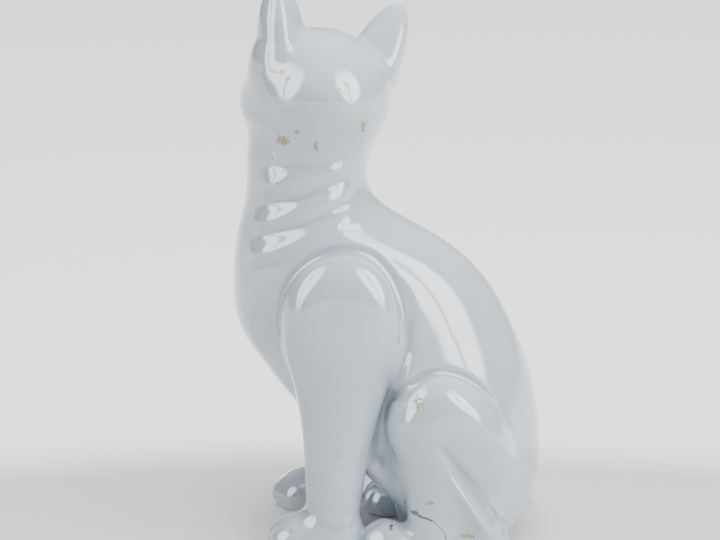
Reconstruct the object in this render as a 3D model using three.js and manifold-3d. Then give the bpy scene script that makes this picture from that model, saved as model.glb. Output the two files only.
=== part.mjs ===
// Seated ceramic cat, slip-cast as separate castings that are luted together and glazed as one.
// Millimetres, +Z up. The cat sits facing -Y, so its left side is +X, and its head is turned to its right.
import * as THREE from "three";
import { mergeVertices } from "three/addons/utils/BufferGeometryUtils.js";
import Module from "manifold-3d";

const wasm = await Module();
wasm.setup();

// Driving dimensions.
const wall = 5.5; // thickness of the cast walls
const seam = 0.3; // clearance left at each luted joint
const around = 32; // sides of a ring
const ringStep = 9; // spacing of the rings up the torso and the legs

// Torso and neck, as level sections: the chest line, the back line and half the width at each height.
const torso = [
  { at: 0, front: 24, back: 86, half: 40 },
  { at: 8, front: 21, back: 91, half: 46 },
  { at: 20, front: 16, back: 96.5, half: 50 },
  { at: 34, front: 4, back: 101, half: 53 },
  { at: 58, front: -19, back: 102.5, half: 53.5 },
  { at: 78, front: -37, back: 99.8, half: 52 },
  { at: 103, front: -56.5, back: 93.5, half: 49.5 },
  { at: 120, front: -67, back: 86.5, half: 47.5 },
  { at: 138, front: -70.7, back: 77, half: 45 },
  { at: 154, front: -70.5, back: 65, half: 42.5 },
  { at: 166, front: -69.5, back: 52, half: 40 },
  { at: 177, front: -67.8, back: 34, half: 37 },
  { at: 186, front: -65.5, back: 18, half: 34 },
  { at: 196, front: -63.5, back: 7, half: 32 },
  { at: 209, front: -62.7, back: 3.9, half: 31 },
  { at: 221, front: -62, back: 4.5, half: 31 },
  { at: 236, front: -57, back: 5, half: 28 },
];
const neckJoint = { y: -30, z: 218.5, tilt: THREE.MathUtils.degToRad(11) }; // sloping plane under the head
const pourHole = { y: 50, radius: 11 }; // where the slip was drained, in the underside

// Foreleg with its shoulder, as level sections about an axis at x.
const foreleg = [
  { at: 12, front: -31, back: 0, half: 14, x: 35 },
  { at: 32, front: -30.4, back: 1.2, half: 14.5, x: 35 },
  { at: 46, front: -30.6, back: 3.3, half: 15, x: 35 },
  { at: 61, front: -31.4, back: 6.1, half: 16, x: 35.5 },
  { at: 90, front: -35.1, back: 15, half: 19, x: 36 },
  { at: 112, front: -40, back: 21, half: 21, x: 36 },
  { at: 133, front: -43, back: 25, half: 22, x: 35 },
  { at: 150, front: -40.5, back: 24, half: 20.5, x: 34 },
  { at: 163, front: -33, back: 17, half: 18, x: 32 },
  { at: 171, front: -24, back: 10, half: 15, x: 30 },
  { at: 175, front: -14, back: 0, half: 8, x: 28 },
];
// Fore paw, as upright sections from the toes back.
const forePaw = [
  { at: -52.5, bottom: 5, top: 12, half: 7, x: 36 },
  { at: -50, bottom: 1, top: 16.5, half: 12.5, x: 36 },
  { at: -44, bottom: -2, top: 21.5, half: 16.5, x: 36 },
  { at: -34, bottom: -3, top: 25, half: 17.5, x: 36 },
  { at: -20, bottom: -3, top: 27, half: 16.5, x: 35.5 },
  { at: -8, bottom: -2, top: 25, half: 14.5, x: 35 },
  { at: 0, bottom: 3, top: 20, half: 8, x: 35 },
];
// Thigh and shin, as level sections.
const haunch = [
  { at: 12, front: 29, back: 85, half: 19, x: 40 },
  { at: 24, front: 25, back: 87, half: 21, x: 40.5 },
  { at: 48, front: 20, back: 89, half: 24, x: 38.5 },
  { at: 63, front: 17, back: 88, half: 25, x: 36.5 },
  { at: 78, front: 17, back: 83.5, half: 25, x: 36 },
  { at: 90, front: 21, back: 76, half: 24, x: 36 },
  { at: 100, front: 28, back: 67, half: 22, x: 36 },
  { at: 106, front: 34, back: 60, half: 19, x: 36 },
  { at: 110, front: 42, back: 53, half: 13, x: 35 },
];
// Hind foot, as upright sections from the toes to the heel.
const hindFoot = [
  { at: 3.5, bottom: 4, top: 10, half: 6, x: 43 },
  { at: 6, bottom: 1, top: 14, half: 10.5, x: 43 },
  { at: 12, bottom: -2, top: 20, half: 14, x: 43.5 },
  { at: 24, bottom: -3, top: 17.5, half: 14.5, x: 44 },
  { at: 35, bottom: -3, top: 19, half: 14.5, x: 44.5 },
  { at: 50, bottom: -3, top: 18, half: 14.5, x: 45 },
  { at: 72, bottom: -3, top: 17, half: 14, x: 44 },
  { at: 82, bottom: -1, top: 15, half: 11, x: 42 },
  { at: 86, bottom: 3, top: 10, half: 6, x: 41 },
];
const footJoint = 43; // where the front of each hind foot is joined to the heel
const footTurn = { left: 0, right: 0.29 }; // sideways travel of the toes towards the middle, per unit forwards

// Head, in its own frame: face towards -Y, left ear towards +X, origin at the middle of the skull.
const headPose = new THREE.Matrix4().compose(
  new THREE.Vector3(-4, -22.6, 252),
  new THREE.Quaternion().setFromEuler(
    new THREE.Euler(0, THREE.MathUtils.degToRad(-14), THREE.MathUtils.degToRad(-66), "ZYX"),
  ),
  new THREE.Vector3(1, 1, 1),
);
const skullRadii = [39, 43, 36];
const ear = { out: 27, back: 2, up: 19.5, lean: 16, forward: 6, turn: 86, flatness: 0.9, front: 5.5 };
// Half the width of an ear at each height above its seat.
const earTaper = [
  [0, 16.5], [6, 15.8], [12, 14.9], [17, 14], [21, 13], [27, 10.8], [31, 8.8], [35, 6.2], [37.5, 4], [39, 1.8],
];

// Tail: a tapering roll lying on the ground round the right haunch.
const tailRadius = { root: 11, tip: 6.5 };
const tailLine = new THREE.CatmullRomCurve3([
  new THREE.Vector3(-22, 84, 12),
  new THREE.Vector3(-38, 92, 10),
  new THREE.Vector3(-57, 86, 9),
  new THREE.Vector3(-70, 65, 8),
  new THREE.Vector3(-71, 38, 7),
  new THREE.Vector3(-62, 19, 6),
]);

// Closed solid through a row of rings, each a list of points, closed by a fan at either end.
function skin(rings) {
  const count = rings[0].length;
  const points = rings.flat();
  for (const ring of [rings[0], rings.at(-1)]) {
    const middle = ring.reduce((sum, point) => sum.add(point), new THREE.Vector3());
    points.push(middle.divideScalar(count));
  }
  const start = points.length - 2;
  const end = points.length - 1;
  const top = (rings.length - 1) * count;
  const triangles = [];
  for (let side = 0; side < count; side++) {
    const next = (side + 1) % count;
    triangles.push(start, next, side, end, top + side, top + next);
    for (let ring = 0; ring < rings.length - 1; ring++) {
      const low = ring * count;
      const high = low + count;
      triangles.push(low + side, low + next, high + next, low + side, high + next, high + side);
    }
  }
  return new wasm.Manifold(new wasm.Mesh({
    numProp: 3,
    vertProperties: new Float32Array(points.flatMap((point) => point.toArray())),
    triVerts: new Uint32Array(triangles),
  }));
}

// Stations resampled along a smooth curve, so that neighbouring rings are about one step apart.
function resampled(stations, step) {
  const names = Object.keys(stations[0]).filter((name) => name !== "at");
  const places = stations.map((station) => station.at);
  const values = stations.flatMap((station) => names.map((name) => station[name]));
  const curve = new THREE.CubicInterpolant(places, values, names.length);
  const length = places.at(-1) - places[0];
  const rows = Math.ceil(length / step);
  return Array.from({ length: rows + 1 }, (_, row) => {
    const at = places[0] + (length * row) / rows;
    const found = curve.evaluate(at);
    return Object.fromEntries([["at", at], ...names.map((name, column) => [name, found[column]])]);
  });
}

function ellipse(centre, acrossAxis, alongAxis, sides = around) {
  return Array.from({ length: sides }, (_, side) => {
    const angle = (2 * Math.PI * side) / sides;
    return centre.clone()
      .addScaledVector(acrossAxis, Math.cos(angle))
      .addScaledVector(alongAxis, Math.sin(angle));
  });
}

// Solid from level sections, grown outwards by a margin, with its axis on the given side of the cat.
function upright(stations, side = 1, grow = 0, sides = around) {
  return skin(resampled(stations, ringStep).map(({ at, front, back, half, x = 0 }) => ellipse(
    new THREE.Vector3(side * x, (front + back) / 2, at),
    new THREE.Vector3(half + grow, 0, 0),
    new THREE.Vector3(0, (back - front) / 2 + grow, 0),
    sides,
  )));
}

// Solid from upright sections that follow one another front to back, grown outwards by a margin.
function lying(stations, side, grow = 0, turn = 0) {
  const last = stations.at(-1).at;
  return skin(resampled(stations, ringStep / 2).map(({ at, bottom, top, half, x }) => ellipse(
    new THREE.Vector3(side * (x - turn * (last - at)), at, (bottom + top) / 2),
    new THREE.Vector3(0, 0, (top - bottom) / 2 + grow),
    new THREE.Vector3(half + grow, 0, 0),
    around / 2,
  )));
}

// Solid from a closed three.js geometry.
function solid(geometry) {
  geometry.deleteAttribute("normal");
  geometry.deleteAttribute("uv");
  const merged = mergeVertices(geometry, 1e-4);
  return new wasm.Manifold(new wasm.Mesh({
    numProp: 3,
    vertProperties: new Float32Array(merged.attributes.position.array),
    triVerts: new Uint32Array(merged.index.array),
  }));
}

function ball(centre, radii, pose = new THREE.Matrix4(), sides = 20) {
  const geometry = new THREE.SphereGeometry(1, sides, sides / 2);
  geometry.rotateX(Math.PI / 2).scale(...radii).translate(...centre).applyMatrix4(pose);
  return solid(geometry);
}

// A block far larger than the cat, with its underside on the given sloping plane.
function above({ y, z, tilt }, gap = 0) {
  const size = 600;
  const block = new THREE.BoxGeometry(size, size, size).translate(0, 0, size / 2 + gap);
  return solid(block.rotateX(tilt).translate(0, y, z));
}

const ground = { y: 0, z: 0, tilt: 0 };

// Torso and neck in one hollow casting, open at the neck and at the drain in the underside.
function makeBody() {
  const inner = torso
    .filter(({ at }) => at > wall)
    .map((row) => ({ ...row, front: row.front + wall, back: row.back - wall, half: row.half - wall }));
  const drain = new THREE.CylinderGeometry(pourHole.radius, pourHole.radius, 40, 32);
  drain.rotateX(Math.PI / 2).translate(0, pourHole.y, 0);
  return upright(torso)
    .subtract(above(neckJoint))
    .subtract(upright(inner, 1, 0, around / 2))
    .subtract(solid(drain));
}

// Skull, muzzle and throat in one hollow casting, open below where it meets the neck.
function makeHead() {
  const parts = [
    ball([0, 0, 0], skullRadii, headPose, around),
    ball([0, -34, -13], [15, 16, 12], headPose),
    ball([0, -34, -20], [10, 12, 8], headPose),
    ball([0, -28, 0], [12, 21, 13], headPose),
  ];
  for (const side of [1, -1]) {
    parts.push(ball([side * 19, -18, -12], [19, 22, 18], headPose));
    parts.push(ball([side * 17, -34, 5], [8, 6, 7], headPose, 16));
  }
  const outer = upright(torso).add(wasm.Manifold.union(parts)).intersect(above(neckJoint, seam));
  const hollow = ball([0, 2, 0], skullRadii.map((radius) => radius - wall), headPose);
  const throat = torso
    .filter(({ at }) => at > 200)
    .map((row) => ({ ...row, front: row.front + wall, back: row.back - wall, half: row.half - wall }));
  return outer.subtract(hollow).subtract(upright(throat, 1, 0, around / 2));
}

// One ear: a blunt cone with a flat, lightly scooped front, trimmed to the skull.
function makeEar(side) {
  const lean = THREE.MathUtils.degToRad(side * ear.lean);
  const forward = THREE.MathUtils.degToRad(ear.forward);
  const turn = THREE.MathUtils.degToRad(side * ear.turn);
  const place = new THREE.Matrix4()
    .makeTranslation(side * ear.out, ear.back, ear.up)
    .multiply(new THREE.Matrix4().makeRotationFromEuler(new THREE.Euler(forward, lean, turn, "YXZ")));
  const pose = headPose.clone().multiply(place);
  const rings = earTaper.map(([rise, half]) => ellipse(
    new THREE.Vector3(0, 0, rise),
    new THREE.Vector3(half, 0, 0),
    new THREE.Vector3(0, half * ear.flatness, 0),
    20,
  ).map((point) => point.applyMatrix4(pose)));
  const size = 100;
  const before = new THREE.BoxGeometry(size, size, size).translate(0, -size / 2 - ear.front, 0);
  const scoop = ball([0, -12.5, 18], [8.5, 9, 15], pose, 16);
  const skull = skullRadii.map((radius) => radius + seam);
  return skin(rings)
    .subtract(solid(before.applyMatrix4(pose)))
    .subtract(scoop)
    .subtract(ball([0, 0, 0], skull, headPose, around));
}

function makeForeleg(side) {
  return upright(foreleg, side)
    .add(lying(forePaw, side))
    .intersect(above(ground))
    .subtract(upright(torso, 1, seam));
}

// Everything in front of the joint across the hind foot.
function beforeFootJoint(gap = 0) {
  const size = 300;
  return solid(new THREE.BoxGeometry(size, size, size).translate(0, footJoint + gap - size / 2, 0));
}

// Thigh and shin, with the heel end of the foot.
function makeHaunch(side, turn) {
  const toes = lying(hindFoot, side, seam, turn).intersect(beforeFootJoint(seam));
  const heel = lying(hindFoot, side, 0, turn).subtract(beforeFootJoint(seam));
  return upright(haunch, side)
    .subtract(toes)
    .add(heel)
    .intersect(above(ground))
    .subtract(upright(torso, 1, seam));
}

function makeHindFoot(side, turn) {
  return lying(hindFoot, side, 0, turn)
    .intersect(beforeFootJoint())
    .intersect(above(ground))
    .subtract(upright(torso, 1, seam));
}

function makeTail() {
  const rows = 20;
  const frames = tailLine.computeFrenetFrames(rows);
  const rings = frames.tangents.map((tangent, row) => {
    const travel = row / rows;
    const round = Math.sqrt(1 - Math.pow(Math.max(0, (travel - 0.93) / 0.0705), 2));
    const radius = THREE.MathUtils.lerp(tailRadius.root, tailRadius.tip, travel) * round;
    const across = new THREE.Vector3(0, 0, 1).cross(tangent).normalize();
    const upwards = tangent.clone().cross(across);
    const centre = tailLine.getPointAt(travel);
    return ellipse(centre, across.multiplyScalar(radius), upwards.multiplyScalar(radius), 12);
  });
  return skin(rings)
    .intersect(above(ground))
    .subtract(upright(torso, 1, seam))
    .subtract(upright(haunch, -1, seam))
    .subtract(lying(hindFoot, -1, seam, footTurn.right));
}

const glaze = { color: 0xc5ccd2, roughness: 0.08, metalness: 0 };

function piece(name, shape, tint = 0) {
  const { vertProperties, triVerts } = shape.getMesh();
  const geometry = new THREE.BufferGeometry();
  geometry.setAttribute("position", new THREE.Float32BufferAttribute(vertProperties, 3));
  geometry.setIndex(new THREE.Uint32BufferAttribute(triVerts, 1));
  geometry.computeVertexNormals();
  const material = new THREE.MeshStandardMaterial(glaze);
  material.color.offsetHSL(0, 0, tint);
  const mesh = new THREE.Mesh(geometry, material);
  mesh.name = name;
  return mesh;
}

const cat = new THREE.Group();
cat.add(piece("body_casting", makeBody()));
cat.add(piece("head_casting", makeHead()));
for (const [name, side] of [["left", 1], ["right", -1]]) {
  cat.add(piece(`ear_${name}`, makeEar(side)));
  cat.add(piece(`foreleg_${name}`, makeForeleg(side)));
  cat.add(piece(`haunch_${name}`, makeHaunch(side, footTurn[name])));
  cat.add(piece(`hind_foot_${name}`, makeHindFoot(side, footTurn[name])));
}
cat.add(piece("tail", makeTail()));

// Stand the cat over the middle of its own footprint.
const box = new THREE.Box3().setFromObject(cat);
const middle = box.getCenter(new THREE.Vector3());
cat.position.set(-middle.x, -middle.y, -box.min.z);

export default cat;
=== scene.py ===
import math

import bpy
import numpy as np
import openvdb
from mathutils import Matrix, Vector


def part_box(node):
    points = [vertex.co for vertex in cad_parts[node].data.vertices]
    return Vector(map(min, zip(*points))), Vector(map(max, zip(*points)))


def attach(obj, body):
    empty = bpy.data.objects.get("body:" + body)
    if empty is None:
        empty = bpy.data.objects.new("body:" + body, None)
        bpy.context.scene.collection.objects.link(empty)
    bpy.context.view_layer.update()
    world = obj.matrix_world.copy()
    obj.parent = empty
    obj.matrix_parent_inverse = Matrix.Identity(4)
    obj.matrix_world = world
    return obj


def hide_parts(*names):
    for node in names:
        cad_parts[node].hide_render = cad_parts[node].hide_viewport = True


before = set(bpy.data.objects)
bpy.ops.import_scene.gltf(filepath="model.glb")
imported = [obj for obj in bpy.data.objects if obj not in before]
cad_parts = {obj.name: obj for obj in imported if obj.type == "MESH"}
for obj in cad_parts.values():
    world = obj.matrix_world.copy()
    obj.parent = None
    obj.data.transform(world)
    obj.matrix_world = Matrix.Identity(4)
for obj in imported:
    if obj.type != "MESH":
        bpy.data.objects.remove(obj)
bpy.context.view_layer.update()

# Every size below is in millimetres, in the cat's own frame: +X its left, -Y the way its body faces,
# +Z up, with the ground at 0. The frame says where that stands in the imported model.
mm = 0.001
bodyLow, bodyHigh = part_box("body_casting")
breastDepth = 70.9  # from the cat's own axis forward to the breast
catPlace = np.array([(bodyLow[0] + bodyHigh[0]) / 2 / mm, bodyLow[1] / mm + breastDepth, 0.0])

model = {
    "cell": 1.1,  # size of the cells that the skin is drawn from
    "low": (-86.0, -78.0, -3.0),
    "high": (68.0, 118.0, 326.0),
}


# Smooth curve through stations, as a function of the place along it.
def curveThrough(stations, place, name):
    at = np.array([row[place] for row in stations], float)
    value = np.array([row[name] for row in stations], float)
    step = np.diff(at)
    rise = np.diff(value) / step
    count = len(at)
    system = np.eye(count)
    target = np.zeros(count)
    for i in range(1, count - 1):
        system[i, i - 1:i + 2] = step[i - 1], 2 * (step[i - 1] + step[i]), step[i]
        target[i] = 6 * (rise[i] - rise[i - 1])
    bend = np.linalg.solve(system, target)

    def evaluate(where):
        inside = np.clip(where, at[0], at[-1])
        i = np.clip(np.searchsorted(at, inside) - 1, 0, count - 2)
        before = inside - at[i]
        after = at[i + 1] - inside
        wide = step[i]
        return ((bend[i] * after**3 + bend[i + 1] * before**3) / (6 * wide)
                + (value[i] / wide - bend[i] * wide / 6) * after
                + (value[i + 1] / wide - bend[i + 1] * wide / 6) * before)

    return evaluate


# Field building blocks: each takes points as three arrays and gives the distance to a surface.
def join(first, second, soft):
    overlap = np.maximum(soft - np.abs(first - second), 0.0) / soft
    return np.minimum(first, second) - overlap * overlap * soft / 4


def cut(first, second, soft):
    return -join(-first, second, soft)


def ellipseDistance(across, along, halfAcross, halfAlong):
    reach = np.sqrt((across / halfAcross) ** 2 + (along / halfAlong) ** 2)
    slope = np.sqrt((across / halfAcross**2) ** 2 + (along / halfAlong**2) ** 2)
    return reach * (reach - 1) / np.maximum(slope, 1e-4)


def ellipsoid(point, centre, radii):
    parts = [(p - c) for p, c in zip(point, centre)]
    reach = np.sqrt(sum((d / r) ** 2 for d, r in zip(parts, radii)))
    slope = np.sqrt(sum((d / r**2) ** 2 for d, r in zip(parts, radii)))
    return reach * (reach - 1) / np.maximum(slope, 1e-4)


def roundBar(point, start, end, startRadius, endRadius):
    axis = np.array(end, float) - np.array(start, float)
    rel = [p - s for p, s in zip(point, start)]
    along = sum(r * a for r, a in zip(rel, axis)) / float(axis @ axis)
    along = np.clip(along, 0.0, 1.0)
    gap = np.sqrt(sum((r - along * a) ** 2 for r, a in zip(rel, axis)))
    return gap - (startRadius + (endRadius - startRadius) * along)


def turned(point, centre, rotation):
    rel = [p - c for p, c in zip(point, centre)]
    return [sum(rotation[row][k] * rel[row] for row in range(3)) for k in range(3)]


# A body given by level sections: front line, back line, half the width and the axis at each height.
class LevelSections:
    def __init__(self, stations, rounding):
        self.low = stations[0]["z"]
        self.high = stations[-1]["z"]
        self.front = curveThrough(stations, "z", "front")
        self.back = curveThrough(stations, "z", "back")
        self.half = curveThrough(stations, "z", "half")
        self.axis = curveThrough(stations, "z", "x") if "x" in stations[0] else (lambda z: 0.0 * z)
        self.rounding = rounding

    def distance(self, point):
        x, y, z = point
        front = self.front(z)
        back = self.back(z)
        wall = ellipseDistance(x - self.axis(z), y - (front + back) / 2, self.half(z), (back - front) / 2)
        ends = np.maximum(z - self.high, self.low - z)
        return cut(wall, -ends, self.rounding)


# A body given by upright sections that follow one another from front to back.
class UprightSections:
    def __init__(self, stations, rounding):
        self.low = stations[0]["y"]
        self.high = stations[-1]["y"]
        self.bottom = curveThrough(stations, "y", "bottom")
        self.top = curveThrough(stations, "y", "top")
        self.half = curveThrough(stations, "y", "half")
        self.axis = curveThrough(stations, "y", "x")
        self.rounding = rounding

    def distance(self, point):
        x, y, z = point
        bottom = self.bottom(y)
        top = self.top(y)
        wall = ellipseDistance(x - self.axis(y), z - (bottom + top) / 2, self.half(y), (top - bottom) / 2)
        ends = np.maximum(y - self.high, self.low - y)
        return cut(wall, -ends, self.rounding)


torso = {
    "sections": [
        {"z": -6, "front": 26, "back": 84, "half": 36},
        {"z": 8, "front": 21, "back": 91, "half": 46},
        {"z": 20, "front": 16, "back": 97, "half": 50},
        {"z": 34, "front": 4, "back": 101, "half": 53},
        {"z": 58, "front": -19, "back": 102.5, "half": 53.5},
        {"z": 78, "front": -37, "back": 99.8, "half": 52},
        {"z": 103, "front": -56.5, "back": 93.5, "half": 49.5},
        {"z": 120, "front": -67, "back": 86.5, "half": 47.5},
        {"z": 138, "front": -70.7, "back": 77, "half": 45},
        {"z": 154, "front": -70.5, "back": 65, "half": 42.5},
        {"z": 166, "front": -69.5, "back": 51.5, "half": 40},
        {"z": 177, "front": -67.8, "back": 34, "half": 37},
        {"z": 186, "front": -65.5, "back": 18.5, "half": 34},
        {"z": 196, "front": -63.5, "back": 7.5, "half": 32},
        {"z": 209, "front": -62.7, "back": 3.9, "half": 31},
        {"z": 221, "front": -62.0, "back": 4.5, "half": 31},
        {"z": 236, "front": -57, "back": 5, "half": 28},
    ],
    "rounding": 4.0,
    # Furrow in the flank along the back of the foreleg: y, z, depth and half the width.
    "furrow": [(19, 162, 0.0, 2.4), (24, 150, 1.6, 2.8), (26, 136, 2.6, 3.2), (24.5, 118, 3.4, 3.8),
               (20, 102, 4.0, 4.4), (14, 84, 4.0, 5.0), (9, 66, 3.0, 5.0)],
    "recess": ((51.0, 12.0, 70.0), (21.0, 10.0, 44.0)),  # hollow between the foreleg and the thigh
    "recessSoft": 9.0,
}
# Folds of loose skin round the throat: creases fan out from the nape towards the breast.
neckFolds = {
    "napeY": -2.0,
    "breastY": -48.0,
    "creases": [(224.0, 218.0), (212.0, 197.0), (198.0, 180.5), (183.0, 163.0)],  # height at nape, breast
    "swell": 2.3,
    "crispness": 1.7,  # above 1 the creases are broad and the folds between them narrow
    "start": (-4.0, 12.0),  # distance ahead of the nape over which the folds begin
    "fade": (16.0, 30.0),  # sideways distance over which a fold grows to its full height
}
shoulder = {
    "centre": (31.0, -9.5, 136.0), "radii": (32.0, 33.5, 38.5),
    "face": 55.5, "soft": 14.0,  # where its outer side is flattened, and how gently
    "legSoft": 11.0,
}
sideFade = (34.0, 44.0)  # sideways distance over which a line on the side grows to its full height
foreleg = {
    "sections": [
        {"z": 6, "front": -31.5, "back": -1, "half": 13.5, "x": 35},
        {"z": 20, "front": -30.5, "back": 0, "half": 13.8, "x": 35},
        {"z": 32, "front": -30.2, "back": 1.2, "half": 14.5, "x": 35},
        {"z": 46, "front": -30.6, "back": 3.3, "half": 15, "x": 35},
        {"z": 61, "front": -31.4, "back": 6.1, "half": 16, "x": 35.5},
        {"z": 90, "front": -35.1, "back": 14, "half": 18.5, "x": 36},
        {"z": 112, "front": -39.5, "back": 20, "half": 18, "x": 36},
        {"z": 130, "front": -40, "back": 21, "half": 16.5, "x": 34.5},
        {"z": 150, "front": -32, "back": 12, "half": 11.5, "x": 31},
        {"z": 163, "front": -22, "back": 2, "half": 7, "x": 28},
    ],
    "rounding": 6.0,
}
forePaw = {
    "sections": [
        {"y": -49, "bottom": 3, "top": 12, "half": 8, "x": 36},
        {"y": -44, "bottom": -4, "top": 17, "half": 13.5, "x": 36},
        {"y": -34, "bottom": -6, "top": 21.5, "half": 15.5, "x": 36},
        {"y": -20, "bottom": -6, "top": 24, "half": 15.5, "x": 35.5},
        {"y": -8, "bottom": -5, "top": 24, "half": 14.5, "x": 35},
        {"y": 1, "bottom": -2, "top": 16, "half": 11, "x": 35},
    ],
    "rounding": 5.0, "toeSoft": 3.0, "wristSoft": 7.0,
    "toes": [  # centre, then half length, width and height of each toe
        ((46.5, -24.0, 7.0), (6.5, 10.5, 8.5)),
        ((42.0, -39.0, 7.5), (7.2, 11.0, 9.0)),
        ((33.0, -41.0, 7.5), (7.2, 11.0, 9.0)),
        ((25.5, -33.0, 7.0), (6.5, 10.5, 8.5)),
    ],
}
thigh = {
    "centre": (33.0, 53.0, 61.0), "radii": (30.0, 31.0, 49.0), "lean": math.radians(25), "splay": 0.2,
    "face": 25.5, "soft": 9.0,
}
shin = {
    "knee": (41.5, 35.5, 72.0), "kneeRadius": 13.5,
    "ankle": (46.5, 68.0, 22.0), "ankleRadius": 12.5,
    "instep": (45.5, 40.0, 20.0), "instepRadius": 13.5, "legSoft": 16.0,
    "merge": {"heel": 3.0, "knee": 16.0, "from": 46.0, "to": 76.0},  # softness of the join to the thigh
    # Furrow between thigh and shin, running down to the heel: y, z, depth and half the width.
    "furrow": [(41, 73, 0.0, 2.6), (46, 67, 1.5, 2.8), (52.5, 56.5, 2.8, 3.0), (59.5, 46, 3.8, 3.2),
               (67, 35.5, 4.4, 3.4), (74, 24, 4.4, 3.4), (82, 14, 3.0, 3.4)],
    "tendon": [(46, 56, 0.0, 3.4), (54, 45, 1.6, 3.6), (61, 34.5, 2.4, 3.6), (68, 24, 2.0, 3.6),
               (74, 15, 0.5, 3.6)],
}
hindFoot = {
    "sections": [
        {"y": 7, "bottom": 2, "top": 15, "half": 9.5, "x": 43},
        {"y": 12, "bottom": -4, "top": 19.5, "half": 13, "x": 43.5},
        {"y": 24, "bottom": -6, "top": 18, "half": 13.8, "x": 44},
        {"y": 35, "bottom": -6, "top": 19.5, "half": 14, "x": 44.5},
        {"y": 50, "bottom": -6, "top": 18, "half": 14, "x": 45},
        {"y": 72, "bottom": -6, "top": 17, "half": 13.5, "x": 44},
        {"y": 83, "bottom": -4, "top": 14, "half": 11, "x": 42},
    ],
    "rounding": 5.0, "toeSoft": 3.0,
    "turn": {"left": 0.0, "right": 0.29},
    "toes": [
        ((52.5, 20.5, 7.5), (6.0, 10.0, 8.5)),
        ((48.5, 12.0, 8.5), (6.8, 9.5, 10.0)),
        ((40.0, 11.0, 8.5), (6.8, 9.5, 10.0)),
        ((34.0, 19.0, 7.5), (6.0, 10.0, 8.5)),
    ],
    "breakAt": 43.0, "breakTop": 24.0,  # the fragment lies ahead of the one and below the other
}
tail = {
    "route": [(-22, 84, 12), (-38, 92, 10), (-57, 86, 9), (-70, 65, 8), (-71, 38, 7), (-62, 19, 6)],
    "rootRadius": 11.5, "tipRadius": 6.5,
}
head = {
    "centre": (-4.0, -22.6, 252.0),
    "turn": math.radians(-66), "tilt": math.radians(-14),
    "skull": (39.0, 43.0, 36.0),
    "cheek": ((17.0, -16.0, -12.0), (18.5, 21.0, 16.5)),
    "pad": ((7.2, -42.0, -13.5), (9.6, 9.8, 8.2)),
    "chin": ((0.0, -39.0, -22.5), (8.0, 8.5, 6.0)),
    "nose": ((0.0, -50.5, -7.5), (5.5, 4.5, 3.5)),
    "bridge": ((0.0, -46.0, -6.0), (0.0, -32.0, 13.0), 5.0, 9.0),
    "eye": ((16.5, -34.4, 3.0), (8.0, 5.6, 5.0)),
    "neckSoft": 13.0,
    # How softly each feature runs into the rest.
    "soft": {"cheek": 10.0, "temple": 14.0, "bridge": 8.0, "chin": 1.0, "muzzle": 4.0, "nose": 1.6,
             "eye": 1.1},
}
ear = {
    "out": 27.0, "back": 2.0, "up": 19.5,
    "lean": math.radians(16), "forward": math.radians(6), "turn": math.radians(86),
    "sections": [
        {"z": -8, "half": 17.5}, {"z": 0, "half": 16.5}, {"z": 10, "half": 15.2}, {"z": 17, "half": 14.0},
        {"z": 21, "half": 13.0}, {"z": 27, "half": 10.8}, {"z": 33, "half": 7.6}, {"z": 36.5, "half": 4.8},
        {"z": 39, "half": 2.0},
    ],
    "thickness": 0.9,
    "scoop": ((-15.0, -10.0, 24.0), (11.5, 11.5, 15.0)),
    "tipSoft": 3.0, "rootSoft": 12.0, "scoopSoft": 1.8,
    "facet": (0.69, 0.72, 0.66, 3.5),  # direction of the flattened outer back, its place and softness
    "temple": ((30.0, -2.0, 14.0), (10.5, 12.0, 12.0)),
}

torsoForm = LevelSections(torso["sections"], torso["rounding"])
forelegForm = LevelSections(foreleg["sections"], foreleg["rounding"])
forePawForm = UprightSections(forePaw["sections"], forePaw["rounding"])
hindFootForm = UprightSections(hindFoot["sections"], hindFoot["rounding"])
earHalf = curveThrough(ear["sections"], "z", "half")


def smoothStep(value, start, end):
    t = np.clip((value - start) / (end - start), 0.0, 1.0)
    return t * t * (3 - 2 * t)


# How far the folds raise the skin of the neck.
def foldHeight(point):
    x, y, z = point
    across = (y - neckFolds["napeY"]) / (neckFolds["breastY"] - neckFolds["napeY"])
    across = np.clip(across, -0.3, 1.3)
    lines = [nape + (breast - nape) * across for nape, breast in neckFolds["creases"]]
    swell = 0.0
    for upper, lower in zip(lines[:-1], lines[1:]):
        inside = np.clip((z - lower) / (upper - lower), 0.0, 1.0)
        swell = swell + np.sin(np.pi * inside) ** neckFolds["crispness"]
    side = smoothStep(np.abs(x), *neckFolds["fade"])
    return neckFolds["swell"] * swell * side * smoothStep(-y, *neckFolds["start"])


# Height of a soft-sided ridge, or depth of a furrow, that follows a line drawn on the cat's side.
def sideLine(point, line):
    y, z = point[1], point[2]
    height = 0.0
    for start, end in zip(line[:-1], line[1:]):
        run, rise = end[0] - start[0], end[1] - start[1]
        along = np.clip(((y - start[0]) * run + (z - start[1]) * rise) / (run**2 + rise**2), 0.0, 1.0)
        gap = np.hypot(y - start[0] - along * run, z - start[1] - along * rise)
        tall = start[2] + (end[2] - start[2]) * along
        wide = start[3] + (end[3] - start[3]) * along
        height = np.maximum(height, tall * np.exp(-((gap / wide) ** 2)))
    return height * smoothStep(np.abs(point[0]), *sideFade)


def torsoField(point):
    form = torsoForm.distance(point) - foldHeight(point) + sideLine(point, torso["furrow"])
    mirrored = (np.abs(point[0]), point[1], point[2])
    return cut(form, ellipsoid(mirrored, *torso["recess"]), torso["recessSoft"])


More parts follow.
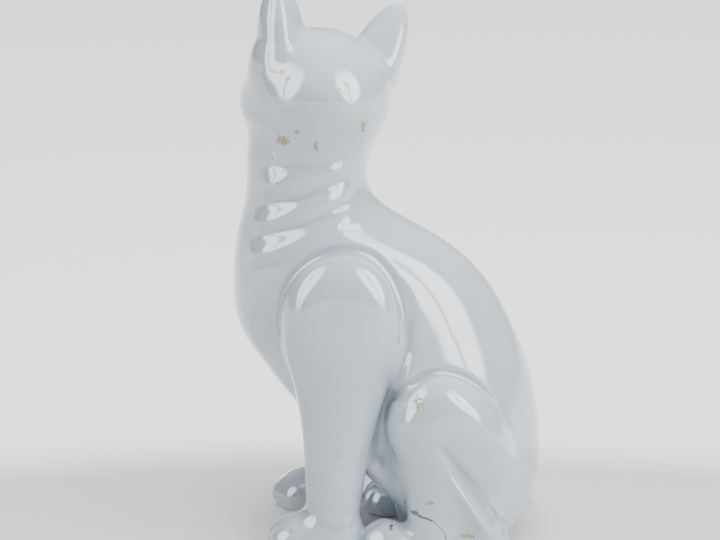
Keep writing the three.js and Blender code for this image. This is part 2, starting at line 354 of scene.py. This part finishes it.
def forelegField(point, side):
    x, y, z = point
    mirrored = (side * x, y, z)
    pad = ellipsoid(mirrored, shoulder["centre"], shoulder["radii"])
    pad = cut(pad, shoulder["face"] - mirrored[0], shoulder["soft"])
    form = join(forelegForm.distance(mirrored), pad, shoulder["legSoft"])
    paw = forePawForm.distance(mirrored)
    for centre, radii in forePaw["toes"]:
        paw = join(paw, ellipsoid(mirrored, centre, radii), forePaw["toeSoft"])
    return join(form, paw, forePaw["wristSoft"])


def thighField(point, side):
    x, y, z = point
    outward = side * x - thigh["centre"][0] - thigh["splay"] * (z - thigh["centre"][2])
    ahead = y - thigh["centre"][1]
    rise = z - thigh["centre"][2]
    sine, cosine = math.sin(thigh["lean"]), math.cos(thigh["lean"])
    local = (outward, ahead * cosine + rise * sine, -ahead * sine + rise * cosine)
    form = ellipsoid(local, (0, 0, 0), thigh["radii"])
    return cut(form, thigh["face"] - outward, thigh["soft"])


def hindFootField(point, side):
    x, y, z = point
    turn = hindFoot["turn"]["left" if side > 0 else "right"]
    swing = turn * (hindFootForm.high - y)
    mirrored = (side * x + swing, y, z)
    form = hindFootForm.distance(mirrored)
    for centre, radii in hindFoot["toes"]:
        form = join(form, ellipsoid(mirrored, centre, radii), hindFoot["toeSoft"])
    return form


def haunchField(point, side):
    x, y, z = point
    mirrored = (side * x, y, z)
    lower = join(
        roundBar(mirrored, shin["knee"], shin["ankle"], shin["kneeRadius"], shin["ankleRadius"]),
        roundBar(mirrored, shin["knee"], shin["instep"], shin["kneeRadius"], shin["instepRadius"]),
        shin["legSoft"])
    merge = shin["merge"]
    soft = merge["heel"] + (merge["knee"] - merge["heel"]) * smoothStep(z, merge["from"], merge["to"])
    form = join(thighField(point, side), lower, soft)
    return form + sideLine(point, shin["furrow"]) - sideLine(point, shin["tendon"])


tailLine = np.array(tail["route"], float)
tailPlace = [{"t": i, "x": p[0], "y": p[1], "z": p[2]} for i, p in enumerate(tailLine)]
tailCurve = [curveThrough(tailPlace, "t", name) for name in ("x", "y", "z")]
tailSteps = np.linspace(0, len(tailLine) - 1, 29)
tailPoints = np.stack([curve(tailSteps) for curve in tailCurve], 1)


def tailField(point):
    nearest = None
    count = len(tailPoints) - 1
    for i in range(count):
        taper = tail["tipRadius"] - tail["rootRadius"]
        radii = [tail["rootRadius"] + taper * k / count for k in (i, i + 1)]
        bar = roundBar(point, tailPoints[i], tailPoints[i + 1], *radii)
        nearest = bar if nearest is None else np.minimum(nearest, bar)
    return nearest


def rotationFor(turn, tilt):
    return np.array((Matrix.Rotation(turn, 3, "Z") @ Matrix.Rotation(tilt, 3, "Y")))


headTurn = rotationFor(head["turn"], head["tilt"])


def skullField(point):
    soft = head["soft"]
    local = turned(point, head["centre"], headTurn)
    skull = ellipsoid(local, (0, 0, 0), head["skull"])
    mirrored = (np.abs(local[0]), local[1], local[2])
    skull = join(skull, ellipsoid(mirrored, *head["cheek"]), soft["cheek"])
    skull = join(skull, ellipsoid(mirrored, *ear["temple"]), soft["temple"])
    skull = join(skull, roundBar(local, *head["bridge"]), soft["bridge"])
    face = ellipsoid(mirrored, *head["pad"])
    face = join(face, ellipsoid(local, *head["chin"]), soft["chin"])
    skull = join(skull, face, soft["muzzle"])
    skull = join(skull, ellipsoid(local, *head["nose"]), soft["nose"])
    return join(skull, ellipsoid(mirrored, *head["eye"]), soft["eye"])


def earRotation(side):
    return np.array(Matrix.Rotation(side * ear["lean"], 3, "Y") @ Matrix.Rotation(ear["forward"], 3, "X")
                    @ Matrix.Rotation(side * ear["turn"], 3, "Z"))


earTurns = {side: earRotation(side) for side in (1, -1)}


def earField(point, side):
    local = turned(point, head["centre"], headTurn)
    local = turned(local, (side * ear["out"], ear["back"], ear["up"]), earTurns[side])
    half = earHalf(local[2])
    shell = ellipseDistance(local[0], local[1], half, half * ear["thickness"])
    shell = cut(shell, ear["sections"][-1]["z"] - local[2], ear["tipSoft"])
    shell = cut(shell, local[2] - ear["sections"][0]["z"], ear["rootSoft"])
    outward, backward, reach, soft = ear["facet"]
    shell = cut(shell, reach * half - outward * side * local[0] - backward * local[1], soft)
    mirrored = (side * local[0], local[1], local[2])
    return cut(shell, ellipsoid(mirrored, *ear["scoop"]), ear["scoopSoft"])


partFields = {
    "body": torsoField,
    "head": skullField,
    "earLeft": lambda p: earField(p, 1),
    "earRight": lambda p: earField(p, -1),
    "forelegLeft": lambda p: forelegField(p, 1),
    "forelegRight": lambda p: forelegField(p, -1),
    "haunchLeft": lambda p: haunchField(p, 1),
    "haunchRight": lambda p: haunchField(p, -1),
    "footLeft": lambda p: hindFootField(p, 1),
    "footRight": lambda p: hindFootField(p, -1),
    "tail": tailField,
}
blends = {"shoulder": 3.5, "thigh": 3.0, "foot": 6.0, "ear": 5.0, "tail": 3.0, "ground": 1.5}
# Channel tooled round the top of each limb: its radius grows from nothing between two heights.
lutingGroove = {"radius": 1.9, "closed": -2.0, "soft": 3.0, "foreleg": (92.0, 165.0), "haunch": (68.0, 106.0)}


# The whole figure: every casting run together, with a tooled groove where a limb meets the body.
def wholeField(point):
    found = {name: field(point) for name, field in partFields.items()}
    trunk = join(found["body"], found["head"], head["neckSoft"])
    for side in ("Left", "Right"):
        trunk = join(trunk, found["ear" + side], blends["ear"])
    form = trunk
    for side in ("Left", "Right"):
        leg = found["foreleg" + side]
        haunch = join(found["haunch" + side], found["foot" + side], blends["foot"])
        for limb, soft, heights in ((leg, blends["shoulder"], lutingGroove["foreleg"]),
                                    (haunch, blends["thigh"], lutingGroove["haunch"])):
            closed = lutingGroove["closed"]
            radius = (lutingGroove["radius"] - closed) * smoothStep(point[2], *heights) + closed
            form = join(form, limb, soft)
            form = cut(form, np.sqrt(trunk**2 + limb**2) - radius, lutingGroove["soft"])
    form = join(form, found["tail"], blends["tail"])
    return cut(form, point[2] + 0.0 * form, blends["ground"])


def drawSkin():
    cell = model["cell"]
    low = np.array(model["low"])
    counts = np.ceil((np.array(model["high"]) - low) / cell).astype(int)
    axes = [low[k] + cell * np.arange(counts[k]) for k in range(3)]
    values = np.empty(counts, np.float32)
    x = axes[0][:, None, None]
    y = axes[1][None, :, None]
    slab = 24
    for start in range(0, counts[2], slab):
        z = axes[2][None, None, start:start + slab]
        values[:, :, start:start + slab] = wholeField((x, y, z))
    grid = openvdb.FloatGrid(background=cell * 4)
    grid.copyFromArray(np.clip(values, -4 * cell, 4 * cell))
    points, quads = grid.convertToQuads(isovalue=0.0)
    return points * cell + low, quads


def slopeAt(points, reach=0.12):
    slope = np.empty_like(points)
    for k in range(3):
        ahead = points.copy()
        behind = points.copy()
        ahead[:, k] += reach
        behind[:, k] -= reach
        slope[:, k] = (wholeField(tuple(ahead.T)) - wholeField(tuple(behind.T))) / (2 * reach)
    return slope


# How sharply the surface bends: above zero over a ridge, below zero in a hollow.
def bendAt(points, reach=1.6):
    total = -6 * wholeField(tuple(points.T))
    for k in range(3):
        for way in (-reach, reach):
            moved = points.copy()
            moved[:, k] += way
            total = total + wholeField(tuple(moved.T))
    return total / reach**2


# Pulls the drawn points onto the exact surface.
def settle(points, rounds=3):
    for _ in range(rounds):
        slope = slopeAt(points)
        size = np.maximum((slope**2).sum(1), 0.05)
        move = (wholeField(tuple(points.T)) / size)[:, None] * slope
        length = np.linalg.norm(move, axis=1, keepdims=True)
        points = points - move * np.minimum(1.0, 0.5 * model["cell"] / np.maximum(length, 1e-9))
    slope = slopeAt(points)
    return points, slope / np.linalg.norm(slope, axis=1, keepdims=True)


print("drawing the skin")
skinPoints, skinQuads = drawSkin()
skinPoints, skinNormals = settle(skinPoints.astype(float))
print("skin points", len(skinPoints))

pieceNodes = {
    "body": "body_casting", "head": "head_casting", "earLeft": "ear_left", "earRight": "ear_right",
    "forelegLeft": "foreleg_left", "forelegRight": "foreleg_right", "haunchLeft": "haunch_left",
    "haunchRight": "haunch_right", "footLeft": "hind_foot_left", "footRight": "hind_foot_right",
    "tail": "tail",
}
neckJoint = {"y": -30.0, "z": 218.5, "slope": math.tan(math.radians(11))}


# Says which casting each point of the skin belongs to.
def sortPoints(points):
    x, y, z = points.T
    found = {name: field((x, y, z)) for name, field in partFields.items()}
    aboveNeck = z - neckJoint["z"] - neckJoint["slope"] * (y - neckJoint["y"])
    names = list(partFields)
    table = np.stack([found[name] for name in names])
    table[names.index("body")] = np.minimum(found["body"], found["head"])
    table[names.index("head")] = np.where(aboveNeck > 0, table[names.index("body")] - 1e-3, 1e3)
    for side in ("Left", "Right"):
        foot = names.index("foot" + side)
        haunch = names.index("haunch" + side)
        both = np.minimum(table[foot], table[haunch])
        isFoot = (y < hindFoot["breakAt"]) & (z < hindFoot["breakTop"]) & (table[foot] < table[haunch])
        table[foot] = np.where(isFoot, both, 1e3)
        table[haunch] = np.where(isFoot, 1e3, both)
    return np.array(names)[np.argmin(table, axis=0)]


def addNode(tree, kind, inputs=None, **settings):
    node = tree.nodes.new("ShaderNode" + kind)
    for key, value in settings.items():
        setattr(node, key, value)
    for key, value in (inputs or {}).items():
        if isinstance(value, bpy.types.NodeSocket):
            tree.links.new(value, node.inputs[key])
        else:
            node.inputs[key].default_value = value
    return node


def newGroup(name, inputs, outputs):
    group = bpy.data.node_groups.new(name, "ShaderNodeTree")
    for label, kind in inputs:
        group.interface.new_socket(label, in_out="INPUT", socket_type="NodeSocket" + kind)
    for label, kind in outputs:
        group.interface.new_socket(label, in_out="OUTPUT", socket_type="NodeSocket" + kind)
    return group, group.nodes.new("NodeGroupInput").outputs, group.nodes.new("NodeGroupOutput").inputs


def mathNode(tree, operation, first, second=0.0):
    return addNode(tree, "Math", {0: first, 1: second}, operation=operation).outputs[0]


def mixColours(tree, factor, first, second):
    return addNode(tree, "Mix", {0: factor, 6: first, 7: second}, data_type="RGBA").outputs[2]


glazeLook = {
    "clear": (0.57, 0.655, 0.73, 1), "milky": (0.50, 0.585, 0.665, 1),  # the two tones of its mottling
    "pooled": (0.42, 0.495, 0.555, 1),  # where it has run thick into a hollow
    "thin": (0.66, 0.70, 0.72, 1),  # where it has drawn thin over a ridge
    "biscuit": (0.47, 0.39, 0.22, 1), "soil": (0.26, 0.19, 0.09, 1),
    "stain": (0.13, 0.055, 0.022, 1), "speck": (0.05, 0.05, 0.05, 1),
    "footHeight": 0.0016,
}


# Colour of the glaze: cloudy, bluer where it pools in hollows and paler over ridges.
def toneGroup():
    sockets = [("Place", "Vector"), ("Hollow", "Float"), ("Ridge", "Float")]
    group, given, result = newGroup("glazeTone", sockets, [("Colour", "Color")])
    clouds = addNode(group, "TexNoise", {"Vector": given["Place"], "Scale": 24.0, "Detail": 4.0,
                                         "Roughness": 0.55, "Distortion": 0.6})
    fine = addNode(group, "TexNoise", {"Vector": given["Place"], "Scale": 210.0, "Detail": 2.0})
    fleck = mathNode(group, "MULTIPLY", fine.outputs["Fac"], 0.22)
    mottle = mathNode(group, "ADD", clouds.outputs["Fac"], fleck)
    spread = addNode(group, "MapRange", {"Value": mottle, "From Min": 0.42, "From Max": 0.82})
    body = mixColours(group, spread.outputs[0], glazeLook["clear"], glazeLook["milky"])
    body = mixColours(group, given["Hollow"], body, glazeLook["pooled"])
    body = mixColours(group, given["Ridge"], body, glazeLook["thin"])
    group.links.new(body, result["Colour"])
    return group


# A ragged spot: 1 inside an ellipsoid about a centre, with its edge broken up by noise.
def spotGroup():
    sockets = [("Place", "Vector"), ("Centre", "Vector"), ("Scale", "Vector"), ("Ragged", "Float")]
    group, given, result = newGroup("raggedSpot", sockets, [("Mask", "Float")])
    away = addNode(group, "VectorMath", {0: given["Place"], 1: given["Centre"]}, operation="SUBTRACT")
    scaled = addNode(group, "VectorMath", {0: away.outputs[0], 1: given["Scale"]}, operation="MULTIPLY")
    reach = addNode(group, "VectorMath", {0: scaled.outputs[0]}, operation="LENGTH").outputs["Value"]
    noise = addNode(group, "TexNoise", {"Vector": given["Place"], "Scale": 520.0, "Detail": 4.0,
                                        "Roughness": 0.65})
    centred = mathNode(group, "SUBTRACT", noise.outputs["Fac"], 0.5)
    shift = mathNode(group, "MULTIPLY", centred, given["Ragged"])
    shift = mathNode(group, "MULTIPLY", shift, 2.6)
    edge = addNode(group, "MapRange", {"Value": mathNode(group, "ADD", reach, shift),
                                       "From Min": 1.12, "From Max": 0.88})
    group.links.new(edge.outputs[0], result["Mask"])
    return group


# A wandering line between two points, seen from the cat's side.
def lineGroup():
    sockets = [("Place", "Vector"), ("Start", "Vector"), ("Along", "Vector"), ("Length", "Float"),
               ("Width", "Float")]
    group, given, result = newGroup("crackLine", sockets, [("Mask", "Float")])
    noise = addNode(group, "TexNoise", {"Vector": given["Place"], "Scale": 260.0, "Detail": 3.0})
    centred = addNode(group, "VectorMath", {0: noise.outputs["Color"], 1: (0.5, 0.5, 0.5)},
                      operation="SUBTRACT")
    wobble = addNode(group, "VectorMath", {0: centred.outputs[0], "Scale": 0.0022}, operation="SCALE")
    moved = addNode(group, "VectorMath", {0: given["Place"], 1: wobble.outputs[0]}, operation="ADD")
    away = addNode(group, "VectorMath", {0: moved.outputs[0], 1: given["Start"]}, operation="SUBTRACT")
    flat = addNode(group, "VectorMath", {0: away.outputs[0], 1: (0.0, 1.0, 1.0)}, operation="MULTIPLY")
    travel = addNode(group, "VectorMath", {0: flat.outputs[0], 1: given["Along"]}, operation="DOT_PRODUCT")
    ahead = mathNode(group, "MAXIMUM", travel.outputs["Value"], 0.0)
    kept = mathNode(group, "MINIMUM", ahead, given["Length"])
    nearest = addNode(group, "VectorMath", {0: given["Along"], "Scale": kept}, operation="SCALE")
    gap = addNode(group, "VectorMath", {0: flat.outputs[0], 1: nearest.outputs[0]}, operation="DISTANCE")
    ratio = mathNode(group, "DIVIDE", gap.outputs["Value"], given["Width"])
    edge = addNode(group, "MapRange", {"Value": ratio, "From Min": 1.15, "From Max": 0.75})
    nearSide = addNode(group, "SeparateXYZ", {0: given["Place"]})
    outer = mathNode(group, "GREATER_THAN", nearSide.outputs["X"], 0.03)
    group.links.new(mathNode(group, "MULTIPLY", edge.outputs[0], outer), result["Mask"])
    return group


# Fine relief of the fired surface: slow waviness, orange peel and a few pinholes.
def reliefGroup():
    sockets = [("Place", "Vector"), ("Chips", "Float")]
    group, given, result = newGroup("glazeRelief", sockets, [("Height", "Float")])
    waves = addNode(group, "TexNoise", {"Vector": given["Place"], "Scale": 38.0, "Detail": 1.5})
    peel = addNode(group, "TexNoise", {"Vector": given["Place"], "Scale": 300.0, "Detail": 2.0})
    pores = addNode(group, "TexVoronoi", {"Vector": given["Place"], "Scale": 95.0})
    hole = addNode(group, "MapRange", {"Value": pores.outputs["Distance"], "From Min": 0.0, "From Max": 0.06,
                                       "To Min": -0.22, "To Max": 0.0})
    height = mathNode(group, "ADD", mathNode(group, "MULTIPLY", waves.outputs["Fac"], 1.5),
                      mathNode(group, "MULTIPLY", peel.outputs["Fac"], 0.035))
    height = mathNode(group, "ADD", height, hole.outputs[0])
    height = mathNode(group, "SUBTRACT", height, mathNode(group, "MULTIPLY", given["Chips"], 0.35))
    group.links.new(height, result["Height"])
    return group


# Chips in the glaze, stains and specks on the cat's left side: place y and z, half sizes, raggedness.
spots = {
    "biscuit": [
        ((-41.3, 232.5), (3.4, 2.3), 1.5), ((-33.8, 238.0), (1.8, 1.0), 1.8),
        ((-23.6, 229.8), (1.3, 3.0), 1.5), ((1.6, 240.7), (1.2, 3.6), 1.4), ((-47.3, 222.1), (0.9, 0.8), 1.0),
        ((31.4, 92.7), (2.6, 3.2), 1.8), ((-38.5, 15.6), (1.8, 1.4), 1.5), ((60.5, 16.0), (4.5, 1.3), 1.8),
        ((38.3, 36.1), (2.0, 1.3), 1.9),
    ],
    "stain": [
        ((-41.5, 216.0), (0.7, 0.6), 0.8), ((29.5, 29.5), (2.2, 1.0), 1.3), ((17.0, 18.5), (1.2, 1.0), 1.2),
    ],
    "speck": [
        ((-10.7, 261.9), (0.6, 0.6), 0.6), ((-44.8, 208.9), (0.5, 0.5), 0.6),
        ((-12.0, 61.0), (0.6, 0.5), 0.8),
    ],
}
spotDepth = {"x": 36.0, "half": 34.0}  # sideways place and half depth that all of them share
# Crack across the left hind foot: its corners, as y and z, and the width of each stretch.
crack = {
    "x": 56.0,
    "points": [(28.6, 29.2), (33.0, 27.9), (39.6, 26.0), (42.4, 24.0), (46.0, 19.5), (47.9, 13.5)],
    "widths": [0.85, 0.6, 0.35, 0.22, 0.2],
}


def inFrame(x, y, z):
    return tuple((np.array([x, y, z]) + catPlace) * mm)


def makeMaterial():
    material = bpy.data.materials.new("glaze")
    material.use_nodes = True
    tree = material.node_tree
    shader = tree.nodes["Principled BSDF"]
    place = addNode(tree, "TexCoord").outputs["Object"]
    hollow = addNode(tree, "Attribute", attribute_name="hollow").outputs["Fac"]
    ridge = addNode(tree, "Attribute", attribute_name="ridge").outputs["Fac"]
    colour = addNode(tree, "Group", {"Place": place, "Hollow": hollow, "Ridge": ridge},
                     node_tree=toneGroup()).outputs["Colour"]
    spot = spotGroup()
    masks = {}
    for kind, marks in spots.items():
        for (y, z), (wide, tall), ragged in marks:
            size = (1 / (spotDepth["half"] * mm), 1 / (wide * mm), 1 / (tall * mm))
            mask = addNode(tree, "Group", {"Place": place, "Centre": inFrame(spotDepth["x"], y, z),
                                           "Scale": size, "Ragged": ragged}, node_tree=spot).outputs["Mask"]
            masks[kind] = mathNode(tree, "MAXIMUM", mask, masks[kind]) if kind in masks else mask
    line = lineGroup()
    points = crack["points"]
    for (y, z), (nextY, nextZ), width in zip(points[:-1], points[1:], crack["widths"]):
        length = math.hypot(nextY - y, nextZ - z)
        along = (0.0, (nextY - y) / length, (nextZ - z) / length)
        mask = addNode(tree, "Group", {"Place": place, "Start": inFrame(crack["x"], y, z), "Along": along,
                                       "Length": length * mm, "Width": width * mm},
                       node_tree=line).outputs["Mask"]
        masks["stain"] = mathNode(tree, "MAXIMUM", mask, masks["stain"])
    height = addNode(tree, "SeparateXYZ", {0: place}).outputs["Z"]
    uneven = addNode(tree, "TexNoise", {"Vector": place, "Scale": 160.0}).outputs["Fac"]
    edge = mathNode(tree, "MULTIPLY", uneven, glazeLook["footHeight"])
    bare = addNode(tree, "MapRange", {"Value": mathNode(tree, "SUBTRACT", height, edge),
                                      "From Min": 0.0004, "From Max": -0.0002}).outputs[0]
    worn = mathNode(tree, "MAXIMUM", masks["biscuit"], bare)
    grime = addNode(tree, "TexNoise", {"Vector": place, "Scale": 900.0, "Detail": 3.0}).outputs["Fac"]
    grime = addNode(tree, "MapRange", {"Value": grime, "From Min": 0.45, "From Max": 0.62}).outputs[0]
    clay = mixColours(tree, grime, glazeLook["biscuit"], glazeLook["soil"])
    colour = mixColours(tree, worn, colour, clay)
    colour = mixColours(tree, masks["stain"], colour, glazeLook["stain"])
    colour = mixColours(tree, masks["speck"], colour, glazeLook["speck"])
    tree.links.new(colour, shader.inputs["Base Color"])
    rough = addNode(tree, "MapRange", {"Value": worn, "To Min": 0.06, "To Max": 0.65})
    tree.links.new(rough.outputs[0], shader.inputs["Roughness"])
    coat = addNode(tree, "MapRange", {"Value": worn, "To Min": 1.0, "To Max": 0.0})
    tree.links.new(coat.outputs[0], shader.inputs["Coat Weight"])
    shader.inputs["Specular IOR Level"].default_value = 0.8
    shader.inputs["Coat Roughness"].default_value = 0.04
    marked = mathNode(tree, "MAXIMUM", worn, masks["stain"])
    relief = addNode(tree, "Group", {"Place": place, "Chips": marked}, node_tree=reliefGroup())
    bump = addNode(tree, "Bump", {"Height": relief.outputs["Height"], "Strength": 1.0, "Distance": 0.00022})
    tree.links.new(bump.outputs["Normal"], shader.inputs["Normal"])
    tree.links.new(bump.outputs["Normal"], shader.inputs["Coat Normal"])
    return material


glaze = makeMaterial()
skinBend = bendAt(skinPoints)


def makePieces():
    centres = skinPoints[skinQuads].mean(1)
    labels = sortPoints(centres)
    for name, node in pieceNodes.items():
        quads = skinQuads[labels == name]
        if not len(quads):
            continue
        used, renumbered = np.unique(quads, return_inverse=True)
        mesh = bpy.data.meshes.new(name)
        points = (skinPoints[used] + catPlace) * mm
        mesh.from_pydata(points.tolist(), [], renumbered.reshape(quads.shape).tolist())
        mesh.polygons.foreach_set("use_smooth", [True] * len(quads))
        mesh.normals_split_custom_set_from_vertices(skinNormals[used].tolist())
        mesh.materials.append(glaze)
        bend = skinBend[used]
        shade = {"hollow": 0.55 * np.clip(-bend / 0.22, 0, 1), "ridge": 0.4 * np.clip(bend / 0.4 - 0.3, 0, 1)}
        for label, values in shade.items():
            attribute = mesh.attributes.new(label, "FLOAT", "POINT")
            attribute.data.foreach_set("value", values.astype(np.float32))
        piece = bpy.data.objects.new(node + "_skin", mesh)
        bpy.context.scene.collection.objects.link(piece)
        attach(piece, "root")
        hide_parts(node)
        print(name, len(quads))


makePieces()


studio = {
    "tones": [(0.0, 0.8), (0.32, 0.45), (0.56, 0.16), (1.0, 0.13)],  # room from behind the cat to the camera
    "seen": 0.74,  # tone of the room where the camera sees it
    "floor": 0.5,
    "glow": (0.36, 1.32),  # light given off by the floor near the cat, then far behind it
    "nearMiddle": (0.9, 0.0, 0.0), "nearReach": (0.985, 1.05),  # round area that counts as near, metres
    "lift": (0.7, 1.7),  # strength of the room low down, then overhead
    "dark": (0.1, 1.2), "brightest": 0.15,  # strength to the sides, then in the middle, and where that is
    "shade": (0.0, 0.1),  # distance from the cat over which its own shade clears
    "shadeAhead": 15.0,
}


def makeStage():
    bpy.ops.mesh.primitive_plane_add(size=30)
    floor = bpy.context.object
    floor.name = "table"
    material = bpy.data.materials.new("table")
    material.use_nodes = True
    shader = material.node_tree.nodes["Principled BSDF"]
    shader.inputs["Base Color"].default_value = (studio["floor"], studio["floor"], studio["floor"], 1)
    shader.inputs["Roughness"].default_value = 0.7
    place = addNode(material.node_tree, "TexCoord")
    fromNear = addNode(material.node_tree, "VectorMath", {
        0: place.outputs["Object"], 1: studio["nearMiddle"]}, operation="DISTANCE")
    step = addNode(material.node_tree, "MapRange", {
        "Value": fromNear.outputs["Value"],
        "From Min": studio["nearReach"][0], "From Max": studio["nearReach"][1],
        "To Min": studio["glow"][0], "To Max": studio["glow"][1]})
    grain = addNode(material.node_tree, "TexNoise", {"Vector": place.outputs["Object"], "Scale": 35.0})
    tone = addNode(material.node_tree, "ValToRGB", {"Fac": grain.outputs["Fac"]})
    tone.color_ramp.elements[0].color = (0.97, 0.97, 0.98, 1)
    tone.color_ramp.elements[1].color = (1.0, 1.0, 1.01, 1)
    material.node_tree.links.new(tone.outputs["Color"], shader.inputs["Emission Color"])
    away = addNode(material.node_tree, "VectorMath", {
        0: place.outputs["Object"], 1: inFrame(0.0, studio["shadeAhead"], 0.0)}, operation="DISTANCE")
    under = addNode(material.node_tree, "MapRange", {
        "Value": away.outputs["Value"], "From Min": studio["shade"][0], "From Max": studio["shade"][1],
        "To Min": 0.0, "To Max": 1.0}, interpolation_type="SMOOTHSTEP")
    shown = mathNode(material.node_tree, "MULTIPLY", step.outputs[0], under.outputs[0])
    material.node_tree.links.new(shown, shader.inputs["Emission Strength"])
    floor.data.materials.append(material)
    world = bpy.data.worlds.new("studio")
    bpy.context.scene.world = world
    world.use_nodes = True
    tree = world.node_tree
    background = tree.nodes["Background"]
    path = tree.nodes.new("ShaderNodeLightPath")
    toward = tree.nodes.new("ShaderNodeTexCoord")
    split = tree.nodes.new("ShaderNodeSeparateXYZ")
    room = tree.nodes.new("ShaderNodeValToRGB")
    spread = tree.nodes.new("ShaderNodeMapRange")
    spread.inputs["From Min"].default_value = -1.0
    spread.inputs["From Max"].default_value = 1.0
    for i, (place, tone) in enumerate(studio["tones"]):
        stop = room.color_ramp.elements[i] if i < 2 else room.color_ramp.elements.new(place)
        stop.position = place
        stop.color = (tone, tone, tone * 1.01, 1)
    mix = tree.nodes.new("ShaderNodeMix")
    mix.data_type = "RGBA"
    seen = studio["seen"]
    mix.inputs[7].default_value = (seen, seen, seen * 1.015, 1)
    tree.links.new(toward.outputs["Generated"], split.inputs[0])
    tree.links.new(split.outputs["X"], spread.inputs["Value"])
    tree.links.new(spread.outputs[0], room.inputs[0])
    lift = addNode(tree, "MapRange", {"Value": split.outputs["Z"], "From Min": -0.2, "From Max": 1.0,
                                      "To Min": studio["lift"][0], "To Max": studio["lift"][1]})
    tree.links.new(room.outputs["Color"], mix.inputs[6])
    offMiddle = mathNode(tree, "SUBTRACT", split.outputs["Y"], studio["brightest"])
    aside = mathNode(tree, "ABSOLUTE", offMiddle)
    sideways = addNode(tree, "MapRange", {"Value": aside, "From Min": 1.05, "From Max": 0.1,
                                          "To Min": studio["dark"][0], "To Max": studio["dark"][1]})
    strength = mathNode(tree, "MULTIPLY", lift.outputs[0], sideways.outputs[0])
    strength = mathNode(tree, "MAXIMUM", strength, path.outputs["Is Camera Ray"])
    tree.links.new(strength, background.inputs["Strength"])
    tree.links.new(path.outputs["Is Camera Ray"], mix.inputs[0])
    tree.links.new(mix.outputs[2], background.inputs["Color"])


softboxes = {
    "distance": 1.5, "azimuth": {"near": 51.0, "far": 63.0}, "elevation": 29.0, "width": 1.25, "height": 2.0,
    "power": {"near": (34.0, 60.0), "far": (4.0, 52.0)},  # light that falls on things, then that is mirrored
    "behind": 1.04,  # the lamp that lights things stands this much further off than the one that is mirrored
    "overhead": {"height": 1.9, "size": 1.4, "power": 60.0},
}


# Light of a panel over its face: soft edges, dimmer towards the top, with a lamp head and stand before it.
panelFace = {
    "edge": 0.14, "top": 0.6, "topLight": 0.35,
    "lampHead": (0.44, 0.56), "lampSize": 0.085, "stand": 0.018, "shade": 0.25,
}


def softenEdges(data):
    data.use_nodes = True
    tree = data.node_tree
    place = addNode(tree, "NewGeometry").outputs["Parametric"]
    split = addNode(tree, "SeparateXYZ", {0: place})
    across, up = split.outputs["X"], split.outputs["Y"]

    def ramp(value, start, end, low=0.0, high=1.0):
        return addNode(tree, "MapRange", {"Value": value, "From Min": start, "From Max": end,
                                          "To Min": low, "To Max": high},
                       interpolation_type="SMOOTHSTEP").outputs[0]

    fromCentre = addNode(tree, "VectorMath", {0: place, 1: (0.5, 0.5, 0.0)}, operation="DISTANCE")
    offCentre = fromCentre.outputs["Value"]
    headX, headY = panelFace["lampHead"]
    size = panelFace["lampSize"]
    toHead = addNode(tree, "VectorMath", {0: place, 1: (headX, headY, 0.0)}, operation="DISTANCE")
    toStand = mathNode(tree, "ABSOLUTE", mathNode(tree, "SUBTRACT", across, headX))
    below = ramp(up, headY, headY - 0.02)
    stand = mathNode(tree, "MULTIPLY", ramp(toStand, 2 * panelFace["stand"], panelFace["stand"]), below)
    hidden = mathNode(tree, "MAXIMUM", ramp(toHead.outputs["Value"], size, 0.8 * size), stand)
    total = mathNode(tree, "SUBTRACT", 1.0, mathNode(tree, "MULTIPLY", hidden, 1 - panelFace["shade"]))
    for factor in (ramp(offCentre, 0.5, 0.5 - panelFace["edge"]),
                   ramp(up, 0.95, panelFace["top"], panelFace["topLight"], 1.0)):
        total = mathNode(tree, "MULTIPLY", total, factor)
    tree.links.new(total, tree.nodes["Emission"].inputs["Strength"])


def addLamp(name, size, power, location, look, soft):
    data = bpy.data.lights.new(name, "AREA")
    data.shape = "ELLIPSE" if soft else "RECTANGLE"
    data.size, data.size_y = size
    data.energy = power
    if soft:
        softenEdges(data)
    lamp = bpy.data.objects.new(name, data)
    lamp.location = location
    lamp.rotation_euler = (look - location).to_track_quat("-Z", "Y").to_euler()
    bpy.context.scene.collection.objects.link(lamp)
    return lamp


def makeLights():
    look = Vector((catPlace[0] * mm, (catPlace[1] - 10) * mm, 0.17))
    panel = (softboxes["width"], softboxes["height"])
    rise = math.radians(softboxes["elevation"])
    for side, place in ((1, "near"), (-1, "far")):
        angle = math.radians(90 + side * softboxes["azimuth"][place])
        level = math.cos(rise)
        toward = Vector((math.sin(angle) * level, -math.cos(angle) * level, math.sin(rise)))
        reach = softboxes["distance"]
        light, sheen = softboxes["power"][place]
        further = softboxes["behind"] * reach
        thrown = addLamp(f"softbox_{place}", panel, light, look + further * toward, look, True)
        thrown.visible_glossy = False
        reflected = addLamp(f"sheen_{place}", panel, sheen, look + reach * toward, look, True)
        reflected.visible_diffuse = False
    top = softboxes["overhead"]
    above = addLamp("overhead", (top["size"], top["size"]), top["power"],
                    look + Vector((0.15, 0.1, top["height"])), look, False)
    above.visible_glossy = False


view = {"sensor": 36, "lens": 111.8, "pitch": math.radians(15.3), "away": 1.2057, "height": 0.4824}


def makeCamera():
    data = bpy.data.cameras.new("camera")
    data.sensor_width = view["sensor"]
    data.lens = view["lens"]
    camera = bpy.data.objects.new("camera", data)
    camera.location = (view["away"] + catPlace[0] * mm, catPlace[1] * mm, view["height"])
    camera.rotation_euler = (math.pi / 2 - view["pitch"], 0, math.pi / 2)
    bpy.context.scene.collection.objects.link(camera)
    bpy.context.scene.camera = camera


makeStage()
makeLights()
makeCamera()
